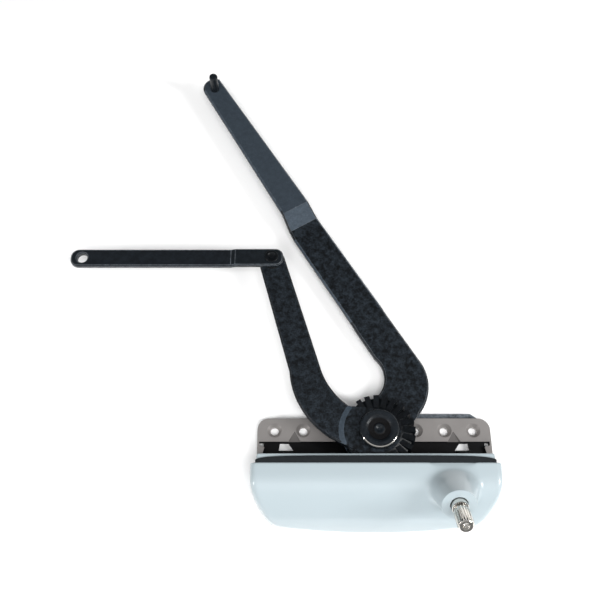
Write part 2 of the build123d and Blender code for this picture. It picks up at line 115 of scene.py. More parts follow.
class OperatorSizes(bpy.types.PropertyGroup):
    """Sizes of the visible detail."""

    plate_round: size("Plate edge", "Rounding of the screw flange's edges", 0.0005)
    arm_round: size("Arm rim", "Width of the pressed arms' rolled rims", 0.0011)
    link_round: size("Link rim", "Width of the link's rolled rim", 0.0008)
    edge_line: size("Edge line", "Rounding of each sharp edge of the arms", 0.00022)
    casting_cell: size("Casting mesh", "Mesh width of the nose casting", 0.0009, 0.0004, 0.003)
    boss_blend: size("Boss blend", "Reach of the soft fillet at the foot of the crank boss", 0.007)
    gasket_bow: size("Gasket bow", "How far the gasket's ends sag away from the flange", 0.0024)
    spline_depth: size("Spline depth", "Depth of the crank stud's splines", 0.0007)
    splines: IntProperty(
        name="Splines", description="Splines round the crank stud", default=18, min=6, max=48
    )


class OperatorColours(bpy.types.PropertyGroup):
    """Colours of the finishes."""

    enamel: colour("Enamel", "Baked enamel of the nose", "#A3AFB4")
    foam: colour("Foam", "Foam rubber of the gasket", "#15191C")
    plate: colour("Plate", "Plated steel of the screw flange", "#A29E9C")
    coat: colour("Black coat", "Coating of the arms", "#12161A")
    # Painted highlight on the arms' edge lines and painted shade on the flange's rear wall and rim.
    worn: colour("Edge sheen and shade", "Painted sheen on the arms' edges and painted shade on the flange's rear", "#4A4F54")
    # Painted shade: near black in the gearbox floor and in the pivot head's dish.
    pit: colour("Gearbox floor", "Painted shade on the gearbox floor and in the pivot head's dish", "#020203")
    bright: colour("Bright zinc", "Plating of the crank stud", "#DEDBD5")
    steel: colour("Machined steel", "Bare turned steel", "#9A9894")
    bronze: colour("Bronze", "Sintered bushes", "#A9834C")
    zinc: colour("Cast zinc", "Gear carrier", "#8E9092")
    floor: colour("Floor", "Studio floor", "#FAFAFA")


# ---- shader nodes ------------------------------------------------------------------------------
def put(tree, kind, inputs=None, **fields):
    """Adds one node with its fields, and sets or wires its inputs."""
    node = tree.nodes.new(kind)
    for field, value in fields.items():
        setattr(node, field, value)
    for socket, value in (inputs or {}).items():
        if isinstance(value, bpy.types.NodeSocket):
            tree.links.new(value, node.inputs[socket])
        else:
            node.inputs[socket].default_value = value
    return node


def begin(name):
    """A new node material: its tree, its surface shader and the place on the object."""
    made = bpy.data.materials.new(name)
    made.use_nodes = True
    tree = made.node_tree
    surface = tree.nodes["Principled BSDF"]
    place = put(tree, "ShaderNodeTexCoord").outputs["Object"]
    return made, tree, surface, place


def per_mm(grain_mm):
    """Texture scale that gives features of this size on coordinates in metres."""
    return 1000.0 / grain_mm


def noise(tree, place, grain_mm, detail):
    """Socket of a noise with features of this size."""
    texture = put(
        tree, "ShaderNodeTexNoise", {"Vector": place, "Scale": per_mm(grain_mm), "Detail": detail}
    )
    return texture.outputs["Fac"]


def ramp(tree, value, before, after):
    """Socket that carries a value from one range to another."""
    made = put(
        tree,
        "ShaderNodeMapRange",
        {
            "Value": value,
            "From Min": before[0],
            "From Max": before[1],
            "To Min": after[0],
            "To Max": after[1],
        },
    )
    return made.outputs["Result"]


def product(tree, one, other):
    """Socket of two sockets' product."""
    made = put(tree, "ShaderNodeMath", {0: one, 1: other}, operation="MULTIPLY")
    return made.outputs["Value"]


def shade(tree, factor, dark, light):
    """Socket of a colour between two, mixed by a factor socket."""
    mix = put(tree, "ShaderNodeMix", {"Factor": factor}, data_type="RGBA")
    mix.inputs["A"].default_value = (*dark, 1)
    mix.inputs["B"].default_value = (*light, 1)
    return mix.outputs["Result"]


def tint(tree, surface, pattern, dark, light):
    """Lets the base colour run between two colours with a pattern."""
    tree.links.new(shade(tree, pattern, dark, light), surface.inputs["Base Color"])


def roughen(tree, surface, pattern, smoothest, roughest):
    """Lets the roughness run between two values with a pattern."""
    gloss = ramp(tree, pattern, (0.0, 1.0), (smoothest, roughest))
    tree.links.new(gloss, surface.inputs["Roughness"])


def emboss(tree, surface, pattern, strength, depth_mm):
    """Raises a pattern as a fine bump of the surface."""
    bump = put(
        tree,
        "ShaderNodeBump",
        {"Height": pattern, "Strength": strength, "Distance": depth_mm * MM},
    )
    tree.links.new(bump.outputs["Normal"], surface.inputs["Normal"])


# ---- finishes ----------------------------------------------------------------------------------
def toned(colour_value, share):
    """The same colour at a share of its brightness, no brighter than white."""
    return tuple(min(1.0, c * share) for c in colour_value)


def baked_enamel(colours):
    """White enamel, sprayed and baked over die-cast zinc: glossy, with a faint orange peel."""
    made, tree, surface, place = begin("baked_enamel_on_zinc_casting")
    peel = noise(tree, place, grain_mm=1.6, detail=2.0)
    cloud = noise(tree, place, grain_mm=45.0, detail=1.0)
    tint(tree, surface, cloud, toned(colours.enamel, 0.96), toned(colours.enamel, 1.02))
    roughen(tree, surface, peel, 0.28, 0.36)
    emboss(tree, surface, peel, strength=0.10, depth_mm=0.06)
    surface.inputs["Coat Weight"].default_value = 0.6
    surface.inputs["Coat Roughness"].default_value = 0.07
    return made


def foam_rubber(colours):
    """Closed-cell foam rubber: dull and dark, with a skin of tiny burst cells."""
    made, tree, surface, place = begin("closed_cell_foam_rubber")
    cells = put(tree, "ShaderNodeTexVoronoi", {"Vector": place, "Scale": per_mm(0.7)})
    dust = noise(tree, place, grain_mm=3.0, detail=4.0)
    tint(tree, surface, dust, toned(colours.foam, 0.7), toned(colours.foam, 1.4))
    emboss(tree, surface, cells.outputs["Distance"], strength=0.5, depth_mm=0.25)
    surface.inputs["Roughness"].default_value = 0.82
    surface.inputs["IOR"].default_value = 1.45
    return made


def satin_plate(name, base):
    """Grey plated steel sheet: satin, with rolling grain along the sill and faint cloudy patches."""
    made, tree, surface, place = begin(name)
    stretch = put(tree, "ShaderNodeMapping", {"Vector": place, "Scale": (0.12, 1.0, 1.0)})
    grain = noise(tree, stretch.outputs["Vector"], grain_mm=0.5, detail=3.0)
    cloud = noise(tree, place, grain_mm=14.0, detail=3.0)
    tint(tree, surface, cloud, toned(base, 0.82), toned(base, 1.08))
    roughen(tree, surface, grain, 0.34, 0.50)
    emboss(tree, surface, grain, strength=0.25, depth_mm=0.04)
    surface.inputs["Metallic"].default_value = 0.6
    return made


def coated_steel(name, base, roughness, light_share=2.9):
    """Near-black coating on pressed steel: grain of the blasted sheet under it, and soft mottling.

    The mottling runs up to the light share of the base colour. Its dark share falls as the light
    share rises, which keeps the mean.
    """
    made, tree, surface, place = begin(name)
    grain = noise(tree, place, grain_mm=1.0, detail=6.0)
    mottle = noise(tree, place, grain_mm=3.2, detail=4.0)
    patches = ramp(tree, product(tree, grain, mottle), (0.16, 0.38), (0.0, 1.0))
    dark_share = 1.45 - 0.38 * light_share
    tint(tree, surface, patches, toned(base, dark_share), toned(base, light_share))
    roughen(tree, surface, grain, roughness - 0.12, roughness + 0.12)
    emboss(tree, surface, grain, strength=0.7, depth_mm=0.16)
    surface.inputs["Specular IOR Level"].default_value = 0.25
    return made


def bare_metal(name, base, roughness, grain_mm, bump_mm):
    """Bare or plated metal: a full metal with fine tool marks and slight tarnish."""
    made, tree, surface, place = begin(name)
    marks = noise(tree, place, grain_mm, detail=3.0)
    tarnish = noise(tree, place, grain_mm=6.0, detail=2.0)
    tint(tree, surface, tarnish, toned(base, 0.85), toned(base, 1.06))
    roughen(tree, surface, marks, roughness * 0.8, roughness * 1.3)
    emboss(tree, surface, marks, strength=0.3, depth_mm=bump_mm)
    surface.inputs["Metallic"].default_value = 1.0
    return made


made_finishes = {}


def finish_named(name):
    """The finish of that name, made when first asked for."""
    colours = bpy.context.scene.operator_colours
    coat = colours.coat
    # The plate at 0.42 of its brightness: painted shade on the slopes of the flange's dents.
    drawn = toned(colours.plate, 0.42)
    makers = {
        "enamel": lambda: baked_enamel(colours),
        "foam": lambda: foam_rubber(colours),
        "plate": lambda: satin_plate("satin_plated_sheet_steel", colours.plate),
        # Painted shade on the dents' slopes.
        "pressed": lambda: satin_plate("plate_slope_painted_shade", drawn),
        "black": lambda: coated_steel("black_coated_pressed_steel", coat, 0.42),
        "rolled": lambda: coated_steel("black_coated_rolled_rim", coat, 0.36, 1.6),
        # Painted highlight on the arms' edge lines, painted shade on the flange's rear wall and rim.
        "worn": lambda: coated_steel("black_steel_painted_sheen_and_shade", colours.worn, 0.30, 1.8),
        # Painted shade on the hooked arm's teeth, hub and step rims; also the link rivet's finish.
        "oiled": lambda: coated_steel("deepest_black_steel", toned(coat, 0.45), 0.38, 1.8),
        # Painted highlight on the arms' sloped steps.
        "rubbed": lambda: coated_steel("black_steel_step_painted_highlight", toned(coat, 6.5), 0.34, 1.3),
        # Painted reflection on the long arm's blade beyond its step.
        "dusty": lambda: coated_steel("black_steel_painted_reflection", toned(coat, 4.6), 0.42, 1.25),
        # Painted shade in the gearbox floor and the pivot head's dish.
        "pit": lambda: coated_steel("recess_painted_shade", colours.pit, 0.6),
        "bright": lambda: bare_metal("bright_zinc_plating", colours.bright, 0.14, 0.6, 0.02),
        "steel": lambda: bare_metal("machined_steel", colours.steel, 0.32, 0.4, 0.03),
        "bronze": lambda: bare_metal("sintered_bronze", colours.bronze, 0.45, 0.3, 0.05),
        "zinc": lambda: bare_metal("as_cast_zinc", colours.zinc, 0.50, 0.8, 0.10),
    }
    if name not in made_finishes:
        made_finishes[name] = makers[name]()
    return made_finishes[name]


# ---- modelling helpers -------------------------------------------------------------------------
def pick(piece):
    """Selects one object alone and makes it active."""
    bpy.ops.object.select_all(action="DESELECT")
    piece.select_set(True)
    bpy.context.view_layer.objects.active = piece


def copy_of(node, name):
    """A free copy of a CAD node with its doubles merged and its flat faces whole."""
    merge_mm = 0.002
    flat_degrees = 0.05
    pick(frame["nodes"][node])
    bpy.ops.object.duplicate()
    piece = bpy.context.view_layer.objects.active
    piece.parent = None
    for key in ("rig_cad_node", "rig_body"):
        if key in piece:
            del piece[key]
    piece.name = name
    piece.data.name = name
    piece.data.materials.clear()
    pick(piece)
    if piece.data.has_custom_normals:
        bpy.ops.mesh.customdata_custom_splitnormals_clear()
    bpy.ops.object.mode_set(mode="EDIT")
    bpy.ops.mesh.select_mode(type="VERT")
    bpy.ops.mesh.select_all(action="SELECT")
    bpy.ops.mesh.remove_doubles(threshold=merge_mm * MM)
    bpy.ops.mesh.dissolve_limited(angle_limit=math.radians(flat_degrees))
    bpy.ops.object.mode_set(mode="OBJECT")
    return piece


def apply(piece, kind, **fields):
    """Adds one modifier with its fields and applies it."""
    pick(piece)
    modifier = piece.modifiers.new(kind.title(), kind)
    for field, value in fields.items():
        setattr(modifier, field, value)
    bpy.ops.object.modifier_apply(modifier=modifier.name)


def round_edges(piece, width, angle, segments=2, edge_material=-1):
    """Rounds every edge sharper than the angle in degrees, then evens the shading of the flats."""
    smooth_degrees = 38
    apply(
        piece,
        "BEVEL",
        width=width,
        segments=segments,
        limit_method="ANGLE",
        angle_limit=math.radians(angle),
        use_clamp_overlap=True,
        material=edge_material,
        miter_outer="MITER_ARC",
    )
    pick(piece)
    bpy.ops.object.shade_smooth_by_angle(angle=math.radians(smooth_degrees))
    apply(piece, "WEIGHTED_NORMAL", keep_sharp=True, weight=60)


def turned(name, rings, sides):
    """A turned piece along Z: a disc drawn out ring by ring, (radius, height) in millimetres."""
    bpy.ops.object.select_all(action="DESELECT")
    radius, height = rings[0]
    bpy.ops.mesh.primitive_circle_add(
        vertices=sides, radius=radius * MM, fill_type="NGON", location=(0, 0, height * MM)
    )
    piece = bpy.context.view_layer.objects.active
    piece.name = name
    piece.data.name = name
    bpy.ops.object.transform_apply(location=True, rotation=True, scale=True)
    bpy.ops.object.mode_set(mode="EDIT")
    bpy.ops.mesh.select_mode(type="FACE")
    bpy.ops.mesh.select_all(action="SELECT")
    for next_radius, next_height in rings[1:]:
        rise = (next_height - height) * MM
        grow = next_radius / radius
        bpy.ops.mesh.extrude_region_move(TRANSFORM_OT_translate={"value": (0, 0, rise)})
        bpy.ops.transform.resize(value=(grow, grow, 1), center_override=(0, 0, next_height * MM))
        radius = next_radius
        height = next_height
    bpy.ops.mesh.select_all(action="SELECT")
    bpy.ops.mesh.normals_make_consistent(inside=False)
    bpy.ops.object.mode_set(mode="OBJECT")
    return piece


def stand(piece, matrix):
    """Moves a piece made at the origin to its place, and keeps the place in its mesh."""
    pick(piece)
    piece.matrix_world = matrix
    bpy.ops.object.transform_apply(location=True, rotation=True, scale=True)


def upright(centre):
    """Place of a piece that is drawn from the mounting face upwards, over a pivot's centre."""
    return Matrix.Translation((centre.x, centre.y, 0))


def along_crank():
    """Place of a piece drawn along Z that lies on the crank axis, measured from the gears' apex."""
    side = Vector((1, 0, 0))
    matrix = Matrix((side, CRANK_DIR.cross(side), CRANK_DIR)).transposed().to_4x4()
    matrix.translation = CRANK_APEX
    return matrix


def reach_of(face):
    """Distance of a face's middle from the axis of the hub."""
    return (face.center.xy - HUB.xy).length


def wear(piece, finish_names):
    """Gives a piece its finishes, in the order of its material slots."""
    piece.data.materials.clear()
    for name in finish_names.split():
        piece.data.materials.append(finish_named(name))


def settle(piece, body, nodes):
    """Gives a finished piece its body and hides the nodes that it stands for."""
    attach(piece, body)
    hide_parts(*nodes)


def need(done, what):
    """Stops the script if a piece did not come out."""
    if not done:
        raise RuntimeError(f"{what} could not be made")


# ---- pieces ------------------------------------------------------------------------------------
class WINDOW_OPERATOR_OT_base_plate(bpy.types.Operator):
    """Screw flange and floor of the gearbox, with softened edges"""

    bl_idname = "window_operator.base_plate"
    bl_label = "Base plate"

    def execute(self, context):
        sizes = context.scene.operator_sizes
        plate = copy_of("base_plate", "screw_flange_plate")
        round_edges(plate, sizes.plate_round, angle=35)
        need(len(plate.data.polygons) > 50, "The base plate")
        # Slots: the plate, then painted shade on the floor, on the rear wall and rim, and on the
        # dents' slopes.
        wear(plate, "plate pit worn pressed")
        settle(plate, "housing", ["base_plate"])
        self.finish_faces(plate)
        return {"FINISHED"}

    def finish_faces(self, plate):
        """Paints shade on the gearbox floor, the rear wall and rim, and the dents' slopes."""
        pit, worn, pressed = 1, 2, 3
        pit_rear = HUB.y - 2.7 * MM
        pit_top = 4.7 * MM
        floor_top = 3.4 * MM
        for face in plate.data.polygons:
            _, y, z = face.center
            tilt = face.normal
            in_pit = y < pit_rear and z < pit_top and (z < floor_top or tilt.y < 0.3)
            rear_wall = y > 8.1 * MM and z < 3.0 * MM
            rear_rim = y > 7.5 * MM and z > 4.2 * MM and tilt.y > 0.2
            drawn_slope = 0.1 < -tilt.y < 0.3 and tilt.z > 0.9
            # Painted shade on the floor, the rear wall and rim, and the dents' slopes.
            if in_pit:
                face.material_index = pit
            elif rear_wall or rear_rim:
                face.material_index = worn
            elif drawn_slope:
                face.material_index = pressed


class WINDOW_OPERATOR_OT_arms(bpy.types.Operator):
    """Long arm, hooked arm with its gear, and link: pressed steel with rolled edges"""

    bl_idname = "window_operator.arms"
    bl_label = "Arms and link"

    # Material slots of each arm: its flats, its rolled rim, its edge lines (painted highlight), its
    # far end (painted reflection) or its gear (painted shade), and its step (painted highlight).
    FLAT, RIM, EDGE, END, STEP = range(5)

    def execute(self, context):
        sizes = context.scene.operator_sizes
        for node, body, width, finish_names in (
            ("long_arm", "arms", sizes.arm_round, "black rolled worn dusty rubbed"),
            ("hooked_arm", "arms", sizes.arm_round, "black rolled worn oiled rubbed"),
            ("link_arm", "link", sizes.link_round, "rolled rolled worn"),
        ):
            arm = copy_of(node, "pressed_" + node)
            if node == "hooked_arm":
                self.thicken_teeth(arm)
            wear(arm, finish_names)
            self.roll_rim(arm, width)
            round_edges(arm, sizes.edge_line, angle=14, edge_material=self.EDGE)
            if node == "hooked_arm":
                self.darken_gear(arm)
            if node == "long_arm":
                self.grey_outer_end(arm)
            need(len(arm.data.polygons) > 30, node)
            settle(arm, body, [node])
        return {"FINISHED"}

    def thicken_teeth(self, arm):
        """Draws each tooth's flanks apart, so that a tooth is wider than the gap beside it."""
        widening = 1.35
        half_tooth = 2.2 * MM
        root = 13.4 * MM
        tip = 23.6 * MM
        last_tooth = math.radians(128)
        turn = 2 * math.pi / GEAR_TEETH
        for vertex in arm.data.vertices:
            away = vertex.co.xy - HUB.xy
            heading = math.atan2(away.y, away.x)
            toothed = abs(heading) < last_tooth and root < away.length < tip
            if not toothed:
                continue
            middle = round(heading / turn) * turn
            axis = Vector((math.cos(middle), math.sin(middle)))
            side = Vector((-axis.y, axis.x))
            offset = away.dot(side)
            if abs(offset) > half_tooth:
                continue
            moved = HUB.xy + axis * away.dot(axis) + side * offset * widening
            vertex.co.x, vertex.co.y = moved

    def roll_rim(self, arm, width):
        """Chamfers the long rims of a pressed arm, away from the gear and from holes."""
        gear_reach = 25.5 * MM
        pick(arm)
        arm.data.attributes.new("bevel_weight_edge", "FLOAT", "EDGE")
        holes = self.holes()
        bpy.ops.object.mode_set(mode="EDIT")
        bpy.ops.mesh.select_mode(type="EDGE")
        bpy.ops.mesh.select_all(action="DESELECT")
        bpy.ops.mesh.edges_select_sharp(sharpness=math.radians(60))
        bpy.ops.object.mode_set(mode="OBJECT")
        weights = arm.data.attributes["bevel_weight_edge"]
        corners = arm.data.vertices
        for edge in arm.data.edges:
            one, other = (corners[i].co for i in edge.vertices)
            middle = (one + other) / 2
            level = abs(one.z - other.z) < 0.8 * (one - other).length
            clear = (middle.xy - HUB.xy).length > gear_reach
            for hole, reach in holes:
                clear = clear and (middle.xy - hole).length > reach
            weights.data[edge.index].value = 1.0 if edge.select and level and clear else 0.0
        apply(
            arm,
            "BEVEL",
            width=width,
            segments=1,
            limit_method="WEIGHT",
            use_clamp_overlap=False,
            material=self.RIM,
        )

    def holes(self):
        """Middles of the bores in the arms and the link, with the reach of their rims."""
        eye_low, eye_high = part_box("link_arm")
        stud_low, stud_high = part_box("track_stud")
        eye = Vector((eye_low.x + 7.9 * MM, (eye_low.y + eye_high.y) / 2))
        stud = (stud_low.xy + stud_high.xy) / 2
        return ((eye, 4.6 * MM), (stud, 3.2 * MM), (LINK_PIVOT.xy, 3.4 * MM))

    def darken_gear(self, arm):
        """Paints shade on the toothed hub and the step's two rims, and a highlight on the step."""
        hub_mm = 13.0
        gear_mm = 24.0
        last_tooth = 129
        for face in arm.data.polygons:
            away = face.center.xy - HUB.xy
            heading = abs(math.degrees(math.atan2(away.y, away.x)))
            reach = reach_of(face) / MM
            toothed = heading < last_tooth and hub_mm < reach < gear_mm
            whole_disc = face.area > 150 * MM * MM
            on_hub = reach < hub_mm and not whole_disc
            on_step = 21.3 < reach < 25.4 and 0.2 < face.normal.z < 0.985
            at_rim = reach < 22.1 or reach > 24.6
            # Painted shade on the teeth, the hub and the step's rims; painted highlight on the step.
            if toothed or on_hub:
                face.material_index = self.END
            elif on_step:
                face.material_index = self.END if at_rim else self.STEP

    def on_outer_step(self, face):
        """Tells whether a face belongs to the slope halfway along the long arm."""
        sloped = 0.3 < face.normal.z < 0.99
        return sloped and reach_of(face) > 90 * MM and face.area > 20 * MM * MM

    def grey_outer_end(self, arm):
        """Paints a highlight on the long arm's step and a reflection on the blade beyond it."""
        step = [reach_of(face) for face in arm.data.polygons if self.on_outer_step(face)]
        need(step, "The long arm's step")
        step_end = max(step) + 0.5 * MM
        for face in arm.data.polygons:
            # Painted reflection beyond the step, painted highlight on the step.
            if face.material_index == self.FLAT and reach_of(face) > step_end:
                face.material_index = self.END
            elif self.on_outer_step(face):
                face.material_index = self.STEP


class WINDOW_OPERATOR_OT_pivots(bpy.types.Operator):
    """Riveted pivot head, link rivet and track stud, each turned from rings"""

    bl_idname = "window_operator.pivots"
    bl_label = "Rivets and studs"

    def execute(self, context):
        self.pivot_post()
        self.link_rivet()
        self.track_stud()
        return {"FINISHED"}

    def pivot_post(self):
        """Post with a wide dished head, a painted highlight on the rim towards the room, painted
        shade in the dish.
        """
        post = turned(
            "riveted_pivot_post",
            [
                (6.0, 0.0),
                (6.0, 22.5),
                (11.6, 22.5),
                (12.2, 23.0),
                (12.2, 26.3),
                (11.5, 27.0),
                (8.9, 27.0),
                (8.0, 26.7),
                (6.9, 25.8),
                (3.7, 25.5),
                (3.3, 25.9),
                (2.5, 25.9),
                (1.7, 25.5),
                (0.8, 24.9),
            ],
            sides=96,
        )
        stand(post, upright(HUB))
        round_edges(post, 0.25 * MM, angle=24)
        wear(post, "rolled bright pit")
        settle(post, "housing", ["pivot_post"])
        bright, pit = 1, 2
        for face in post.data.polygons:
            away = face.center.xy - HUB.xy
            heading = math.degrees(math.atan2(away.y, away.x))
            on_rim = away.length > 11.3 * MM and face.center.z > 26.0 * MM
            in_dish = 3.3 * MM < away.length < 7.4 * MM
            # Painted highlight on the rim's near side, painted shade in the dish.
            if on_rim and -150 < heading < -25:
                face.material_index = bright
            elif in_dish:
                face.material_index = pit

    def link_rivet(self):
        """Rivet with a dimpled head, between the hooked arm and the link."""
        low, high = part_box("link_rivet")
        base = low.z / MM
        top = high.z / MM
        rivet = turned(
            "link_rivet_head",
            [
                (4.0, base),
                (4.4, base + 0.3),
                (4.4, base + 0.8),
                (2.8, base + 0.8),
                (2.8, top - 1.1),
                (4.2, top - 1.1),
                (4.6, top - 0.8),
                (4.6, top - 0.4),
                (4.2, top),
                (2.9, top),
                (2.4, top - 0.5),
                (1.0, top - 0.8),
            ],
            sides=48,
        )
        stand(rivet, upright(LINK_PIVOT))
        round_edges(rivet, 0.12 * MM, angle=24)
        wear(rivet, "oiled")
        settle(rivet, "arms", ["link_rivet"])

    def track_stud(self):
        """Plain pin with a rounded end, at the long arm's tip."""
        low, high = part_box("track_stud")
        base = low.z / MM
        top = high.z / MM
        stud = turned(
            "track_stud_head",
            [
                (2.3, base),
                (2.3, base + 4.0),
                (3.1, base + 4.0),
                (3.1, base + 12.0),
                (3.1, top - 0.8),
                (2.9, top - 0.3),
                (2.4, top),
                (1.2, top),
            ],
            sides=48,
        )
        stand(stud, upright((low + high) / 2))
        round_edges(stud, 0.10 * MM, angle=24)
        wear(stud, "rolled")
        settle(stud, "arms", ["track_stud"])
        need(len(stud.data.polygons) > 100, "The track stud")


class WINDOW_OPERATOR_OT_crank_stud(bpy.types.Operator):
    """Bright crank stud with collar, groove and fine splines"""

    bl_idname = "window_operator.crank_stud"
    bl_label = "Crank stud"

    def execute(self, context):
        sizes = context.scene.operator_sizes
        outer_mm = 4.75
        stud = turned(
            "splined_crank_stud",
            [
                (2.2, 2.6),
                (2.2, 9.4),
                (4.0, 9.4),
                (4.0, 27.2),
                (4.7, 27.2),
                (4.9, 27.4),
                (4.9, 33.6),
                (4.6, 34.0),
                (3.6, 34.1),
                (3.6, 35.6),
                (3.9, 35.8),
                (outer_mm, 36.4),
                (outer_mm, 40.0),
                (outer_mm, 44.0),
                (outer_mm, 48.3),
                (4.2, 49.7),
                (3.7, 50.1),
                (2.0, 50.1),
                (1.5, 49.2),
                (0.4, 48.9),
            ],
            sides=sizes.splines * 6,
        )
        self.cut_splines(stud, sizes, outer_mm * MM)
        stand(stud, along_crank())
        round_edges(stud, 0.10 * MM, angle=28)
        need(len(stud.data.polygons) > 500, "The crank stud")
        wear(stud, "bright")
        settle(stud, "crank", ["crank_shaft"])
        return {"FINISHED"}

    def cut_splines(self, stud, sizes, outer):
        """Draws the gaps between the splines inwards, while the stud still stands along Z."""
        pick(stud)
        bpy.ops.object.mode_set(mode="EDIT")
        bpy.ops.mesh.select_mode(type="VERT")
        bpy.ops.mesh.select_all(action="DESELECT")
        bpy.ops.object.mode_set(mode="OBJECT")
        turn = 2 * math.pi / sizes.splines
        for vertex in stud.data.vertices:
            x, y, z = vertex.co
            part = (math.atan2(y, x) / turn) % 1.0
            splined = 36.1 * MM < z < 49.2 * MM
            vertex.select = splined and 0.42 < part < 0.92
        bpy.ops.object.mode_set(mode="EDIT")
        shrink = 1 - sizes.spline_depth / outer
        bpy.ops.transform.resize(value=(shrink, shrink, 1), center_override=(0, 0, 0))
        bpy.ops.object.mode_set(mode="OBJECT")


class WINDOW_OPERATOR_OT_nose_cover(bpy.types.Operator):
    """Painted nose casting: one skin with soft edges, and a boss that flows out of it"""

    bl_idname = "window_operator.nose_cover"
    bl_label = "Nose cover"

    # The nose's own top line, (place in depth, height) in millimetres, from its tip backwards.
    TOP_LINE_MM = ((-63.1, 0.0), (-58.5, 12.0), (-52.5, 18.0), (-43.0, 25.9), (-32.0, 28.5))

    def execute(self, context):
        sizes = context.scene.operator_sizes
        nose = copy_of("nose_cover", "enamelled_nose_cover")
        nose.data.remesh_voxel_size = sizes.casting_cell
        nose.data.remesh_voxel_adaptivity = 0.0
        pick(nose)
        bpy.ops.object.voxel_remesh()
        need(len(nose.data.polygons) > 5000, "The nose cover")
        self.blend_boss(nose, sizes.boss_blend)
        self.soften_skin(nose)
        self.trim(nose)
        pick(nose)
        bpy.ops.object.shade_smooth_by_angle(angle=math.radians(50))
        wear(nose, "enamel")
        settle(nose, "housing", ["nose_cover"])
        return {"FINISHED"}

    def nose_top(self, y):
        """Height of the nose's own skin at a place in depth."""
        line = [(depth * MM, height * MM) for depth, height in self.TOP_LINE_MM]
        for (y0, z0), (y1, z1) in zip(line, line[1:]):
            if y <= y1:
                return z0 + (z1 - z0) * max(0.0, y - y0) / (y1 - y0)
        return line[-1][1]

    def blend_boss(self, nose, reach):
        """Relaxes the skin round the foot of the boss until it flows into the nose."""
        boss_r = 10.3 * MM
        lift = 0.2 * reach
        foot = nose.vertex_groups.new(name="boss_foot")
        for vertex in nose.data.vertices:
            away = vertex.co - CRANK_APEX
            along = away.dot(CRANK_DIR)
            radial = (away - CRANK_DIR * along).length
            height = vertex.co.z - self.nose_top(vertex.co.y)
            near_wall = 1 - abs(radial - boss_r - lift) / reach
            near_skin = 1 - abs(height - lift) / (reach + lift)
            weight = max(0.0, near_wall) * max(0.0, near_skin)
            if weight > 0.01 and along > 0:
                foot.add([vertex.index], min(1.0, 2.2 * weight), "REPLACE")
        apply(nose, "SMOOTH", factor=0.6, iterations=60, vertex_group=foot.name)

    def soften_skin(self, nose):
        """Evens the skin, keeps the nose's rear rim square, and rounds the neck's rear rim more."""
        _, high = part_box("nose_cover")
        skin = nose.vertex_groups.new(name="skin")
        rim = nose.vertex_groups.new(name="neck_rim")
        for vertex in nose.data.vertices:
            from_rear = high.y - vertex.co.y
            if not 5.0 * MM < from_rear < 7.8 * MM:
                skin.add([vertex.index], 1.0, "REPLACE")
            if from_rear < 2.2 * MM:
                rim.add([vertex.index], 1.0, "REPLACE")
        apply(nose, "SMOOTH", factor=0.5, iterations=4, vertex_group=skin.name)
        apply(nose, "SMOOTH", factor=0.5, iterations=10, vertex_group=rim.name)

    def trim(self, nose):
        """Cuts the boss's end and the casting's foot flat and crisp."""
        boss_end = CRANK_APEX + CRANK_DIR * (30.0 * MM)
        foot = Vector((0, 0, 0.3 * MM))
        pick(nose)
        bpy.ops.object.mode_set(mode="EDIT")
        for point, normal in ((boss_end, CRANK_DIR), (foot, Vector((0, 0, -1)))):
            bpy.ops.mesh.select_all(action="SELECT")
            bpy.ops.mesh.bisect(
                plane_co=point, plane_no=normal, use_fill=True, clear_inner=False, clear_outer=True
            )
        bpy.ops.object.mode_set(mode="OBJECT")


class WINDOW_OPERATOR_OT_gasket(bpy.types.Operator):
    """Foam gasket round the neck, with ends that sag away from the flange"""

    bl_idname = "window_operator.gasket"
    bl_label = "Gasket"

    def execute(self, context):
        sizes = context.scene.operator_sizes
        gasket = copy_of("neck_gasket", "foam_neck_gasket")
        low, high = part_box("neck_gasket")
        middle = (low.x + high.x) / 2
        half = (high.x - low.x) / 2
        bpy.ops.object.mode_set(mode="EDIT")
        for share in (0.3, 0.5, 0.65, 0.75, 0.83, 0.89, 0.94, 0.97):
            for side in (-1, 1):
                cut = (middle + side * share * half, 0, 0)
                bpy.ops.mesh.select_all(action="SELECT")
                bpy.ops.mesh.bisect(plane_co=cut, plane_no=(1, 0, 0))
        bpy.ops.object.mode_set(mode="OBJECT")
        for vertex in gasket.data.vertices:
            out = abs(vertex.co.x - middle) / half
            bow = 0.6 * MM + (0.4 * out**4 + 0.6 * out**14) * sizes.gasket_bow
            rear = (vertex.co.y - low.y) / (high.y - low.y)
            vertex.co.y -= bow * max(0.0, rear)
        round_edges(gasket, 0.6 * MM, angle=40, segments=3)
        need(len(gasket.data.polygons) > 20, "The gasket")
        wear(gasket, "foam")
        settle(gasket, "housing", ["neck_gasket"])
        return {"FINISHED"}


class WINDOW_OPERATOR_OT_works(bpy.types.Operator):
    """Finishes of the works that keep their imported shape: gears, bushes, washers and screws"""

    bl_idname = "window_operator.works"
    bl_label = "Works"

    def execute(self, context):
        for node, finish in (
            ("gear_carrier", "zinc"),
            ("worm_bush_left", "bronze"),
            ("worm_bush_right", "bronze"),
            ("crank_bush", "bronze"),
            ("crank_seal", "foam"),
            ("crank_washer", "steel"),
            ("worm_shaft", "steel"),
            ("worm_end_clip", "steel"),
            ("bevel_gear", "steel"),
            ("bevel_pinion", "steel"),
            ("lower_washer", "steel"),
            ("upper_washer", "steel"),
            ("arm_spacer", "steel"),
            ("arm_pins", "steel"),
            ("link_washer", "steel"),
            ("cover_screws", "steel"),
            ("carrier_screws", "steel"),
        ):
            part = frame["nodes"][node]
            wear(part, finish)
            for face in part.data.polygons:
                face.material_index = 0
        return {"FINISHED"}


